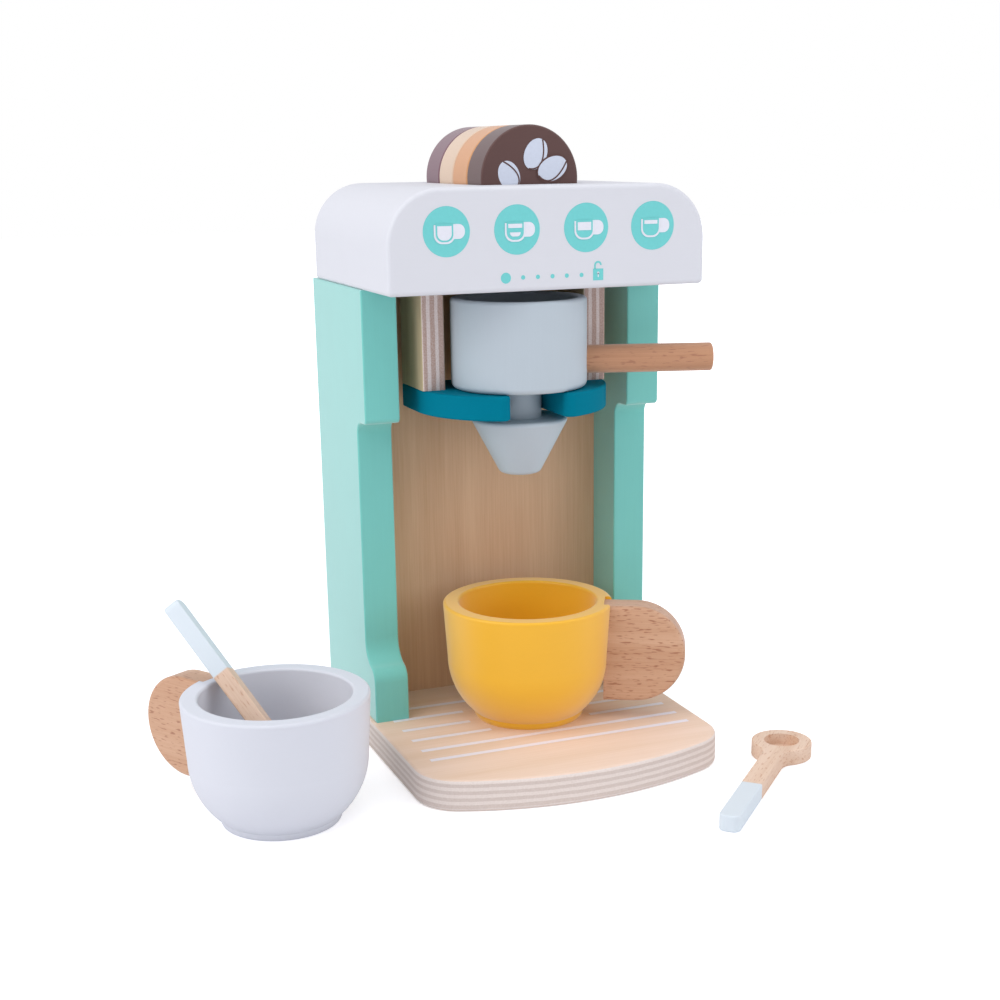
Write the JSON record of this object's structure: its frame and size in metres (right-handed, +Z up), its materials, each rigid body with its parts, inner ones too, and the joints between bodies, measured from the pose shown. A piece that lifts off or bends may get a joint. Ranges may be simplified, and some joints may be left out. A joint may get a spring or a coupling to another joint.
{
  "type": "toy coffee maker",
  "caption": "Wooden toy coffee maker with a sliding portafilter, lift-out coffee discs, cups with lug handles and spoons.",
  "frame": {"origin": "underside of the base board, on the centre line between the side panels, in the plane of the panels' rear edges", "axes": "+Z up, -Y towards the front of the machine, +X to the right seen from the front"},
  "size_m": [0.2397, 0.1907, 0.2341],
  "materials": {
    "birch_plywood": "satin",
    "mint_paint": "satin",
    "white_paint": "satin",
    "birch_panel": "satin",
    "teal_paint": "satin",
    "grey_blue_paint": "satin",
    "beech": "satin",
    "disc_dark_paint": "satin",
    "disc_caramel_paint": "satin",
    "disc_cream_paint": "satin",
    "disc_plum_paint": "satin",
    "yellow_paint": "satin",
    "zinc_steel": "satin"
  },
  "bodies": {
    "machine": {"base_board": "birch_plywood", "side_panel_left": "mint_paint", "side_panel_right": "mint_paint", "back_panel": "birch_panel", "head_block": "white_paint", "cheek_left": "birch_plywood", "cheek_right": "birch_plywood", "portafilter_shelf": "teal_paint", "base_screws": "zinc_steel", "head_pegs": "beech", "cheek_pegs": "beech", "shelf_pegs": "beech"},
    "filter_carrier": {"portafilter_neck": "grey_blue_paint", "portafilter_spout": "grey_blue_paint"},
    "filter_cup": {"portafilter_cup": "grey_blue_paint", "portafilter_handle": "beech"},
    "disc_dark": {"coffee_disc_dark": "disc_dark_paint"},
    "disc_caramel": {"coffee_disc_caramel": "disc_caramel_paint"},
    "disc_cream": {"coffee_disc_cream": "disc_cream_paint"},
    "disc_plum": {"coffee_disc_plum": "disc_plum_paint"},
    "cup_on_board": {"yellow_cup": "yellow_paint", "yellow_cup_handle": "beech"},
    "cup_beside": {"white_cup": "white_paint", "white_cup_handle": "beech"},
    "spoon_leaning": {"spoon_in_cup": "beech"},
    "spoon_lying": {"spoon_on_table": "beech"}
  },
  "joints": [
    {"name": "filter_slide", "type": "slide", "parent": "machine", "child": "filter_carrier", "axis": [0, -1, 0], "range_m": [0, 0.07]},
    {"name": "filter_turn", "type": "hinge", "parent": "filter_carrier", "child": "filter_cup", "pos_m": [-0.0015, -0.0728, 0.157], "axis": [0, 0, 1], "range_deg": [-155, 10]},
    {"name": "cup_on_board_lift", "type": "slide", "parent": "machine", "child": "cup_on_board", "axis": [0, -0.7071, 0.7071], "range_m": [0, 0.06]},
    {"name": "cup_beside_lift", "type": "slide", "parent": "machine", "child": "cup_beside", "axis": [0, 0, 1], "range_m": [0, 0.08]},
    {"name": "spoon_leaning_lift", "type": "slide", "parent": "cup_beside", "child": "spoon_leaning", "axis": [0, 0, 1], "range_m": [0, 0.06]},
    {"name": "spoon_lying_lift", "type": "slide", "parent": "machine", "child": "spoon_lying", "axis": [0, 0, 1], "range_m": [0, 0.06]},
    {"name": "disc_dark_lift", "type": "slide", "parent": "machine", "child": "disc_dark", "axis": [0, 0, 1], "range_m": [0, 0.03]},
    {"name": "disc_caramel_lift", "type": "slide", "parent": "machine", "child": "disc_caramel", "axis": [0, 0, 1], "range_m": [0, 0.03]},
    {"name": "disc_cream_lift", "type": "slide", "parent": "machine", "child": "disc_cream", "axis": [0, 0, 1], "range_m": [0, 0.03]},
    {"name": "disc_plum_lift", "type": "slide", "parent": "machine", "child": "disc_plum", "axis": [0, 0, 1], "range_m": [0, 0.03]}
  ]
}
